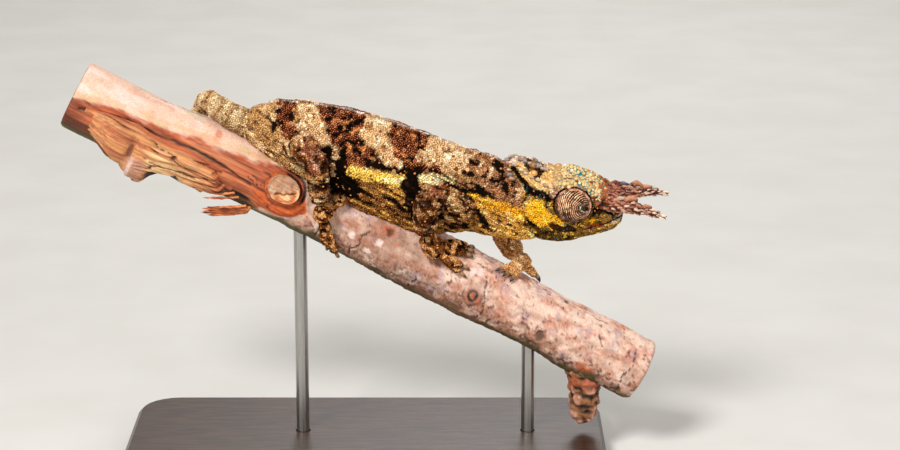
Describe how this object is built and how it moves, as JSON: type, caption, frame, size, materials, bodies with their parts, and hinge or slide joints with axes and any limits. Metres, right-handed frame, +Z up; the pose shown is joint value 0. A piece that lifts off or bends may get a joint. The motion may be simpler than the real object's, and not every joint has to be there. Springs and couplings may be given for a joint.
{
  "type": "two-horned chameleon model on a perch",
  "caption": "Still, life-size model of an adult male two-horned chameleon walking down a cut length of branch, held over a flat base by two rods.",
  "frame": {"origin": "centre of the model's bounding box, on the underside of the stand's base", "axes": "+X along the model's length, towards the animal's head; the animal's right side faces -Y; +Z up"},
  "size_m": [0.1467, 0.052, 0.0991],
  "materials": {
    "skin": "small bead-like scales, mottled dark brown, cream, ochre and orange",
    "horn": "rough blunt scales, pinkish brown with pale tips",
    "claw": "smooth dark horn",
    "eye": "wet black",
    "bark": "smooth pinkish bark with dark flecks",
    "bare_wood": "torn, fibrous red-brown wood",
    "base_wood": "dark satin varnish",
    "rod_steel": "satin"
  },
  "bodies": {
    "root": {"head": "skin", "left_eye": "eye", "left_eye_turret": "skin", "left_forearm": "skin", "left_forefoot": "skin", "left_forefoot_claw_1": "claw", "left_forefoot_claw_2": "claw", "left_forefoot_claw_3": "claw", "left_forefoot_claw_4": "claw", "left_forefoot_claw_5": "claw", "left_hind_foot": "skin", "left_hind_foot_claw_1": "claw", "left_hind_foot_claw_2": "claw", "left_hind_foot_claw_3": "claw", "left_hind_foot_claw_4": "claw", "left_hind_foot_claw_5": "claw", "left_horn": "horn", "left_shin": "skin", "left_thigh": "skin", "left_upper_arm": "skin", "lower_jaw": "skin", "neck": "skin", "perch_branch": "bark", "perch_pruned_stub": "bare_wood", "perch_side_bud": "bark", "perch_splinter": "bare_wood", "perch_torn_wood": "bare_wood", "right_eye": "eye", "right_eye_turret": "skin", "right_forearm": "skin", "right_forefoot": "skin", "right_forefoot_claw_1": "claw", "right_forefoot_claw_2": "claw", "right_forefoot_claw_3": "claw", "right_forefoot_claw_4": "claw", "right_forefoot_claw_5": "claw", "right_hind_foot": "skin", "right_hind_foot_claw_1": "claw", "right_hind_foot_claw_2": "claw", "right_hind_foot_claw_3": "claw", "right_hind_foot_claw_4": "claw", "right_hind_foot_claw_5": "claw", "right_horn": "horn", "right_shin": "skin", "right_thigh": "skin", "right_upper_arm": "skin", "stand_base": "base_wood", "stand_rod_head": "rod_steel", "stand_rod_tail": "rod_steel", "tail_base": "skin", "tail_coil": "skin", "tail_middle": "skin", "tail_tip": "skin", "trunk": "skin"}
  },
  "joints": []
}
